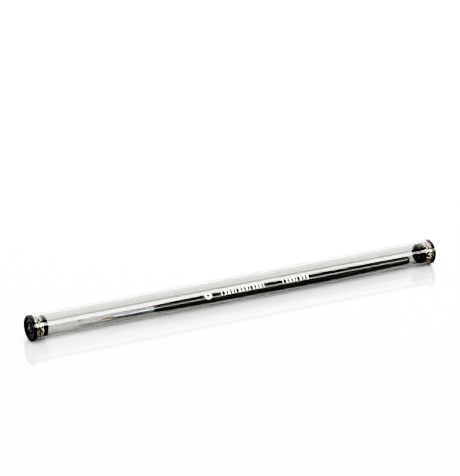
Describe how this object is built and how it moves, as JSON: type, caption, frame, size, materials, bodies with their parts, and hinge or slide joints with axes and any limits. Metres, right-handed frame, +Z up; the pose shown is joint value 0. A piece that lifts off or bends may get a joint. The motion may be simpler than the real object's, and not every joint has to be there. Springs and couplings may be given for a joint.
{
  "type": "fine detail brush",
  "caption": "Fine pointed hair brush with a slim lacquered wooden handle, stored in a clear plastic tube with black push-in end plugs and a clear sleeve over the hairs.",
  "frame": {"origin": "under the middle of the storage tube, on the surface that the two plug flanges rest on", "axes": "+X along the tube from the hair end to the handle end, +Z up"},
  "size_m": [0.2414, 0.0136, 0.0135],
  "materials": {
    "clear_tube_plastic": "clear, polished",
    "clear_sleeve_plastic": "clear, soft",
    "plug_plastic": "moulded black, semi-gloss",
    "handle_lacquer": "turned wood under gloss black lacquer",
    "ferrule_nickel": "drawn and nickel plated, polished",
    "hair": "natural brown hair with a dark point",
    "thread": "waxed thread",
    "epoxy": "set amber adhesive"
  },
  "bodies": {
    "tube": {"clear_tube": "clear_tube_plastic"},
    "front_plug": {"front_plug": "plug_plastic"},
    "rear_plug": {"rear_plug": "plug_plastic"},
    "brush": {"handle": "handle_lacquer", "ferrule": "ferrule_nickel", "hair_tuft": "hair", "binding_thread": "thread", "epoxy_plug": "epoxy"},
    "sleeve": {"tip_protector": "clear_sleeve_plastic"}
  },
  "joints": [
    {"name": "front_plug_pull", "type": "slide", "parent": "tube", "child": "front_plug", "axis": [-1, 0, 0], "range_m": [0, 0.06]},
    {"name": "brush_slide", "type": "slide", "parent": "tube", "child": "brush", "axis": [1, 0, 0], "range_m": [0, 0.262]},
    {"name": "rear_plug_pull", "type": "slide", "parent": "tube", "child": "rear_plug", "axis": [1, 0, 0], "range_m": [0, 0.29]},
    {"name": "sleeve_pull", "type": "slide", "parent": "brush", "child": "sleeve", "axis": [-1, 0, 0], "range_m": [0, 0.036]}
  ],
  "couplings": [
    {"joint": "rear_plug_pull", "follows": "brush_slide", "ratio": 1.1},
    {"joint": "sleeve_pull", "follows": "brush_slide", "ratio": 0.135}
  ]
}
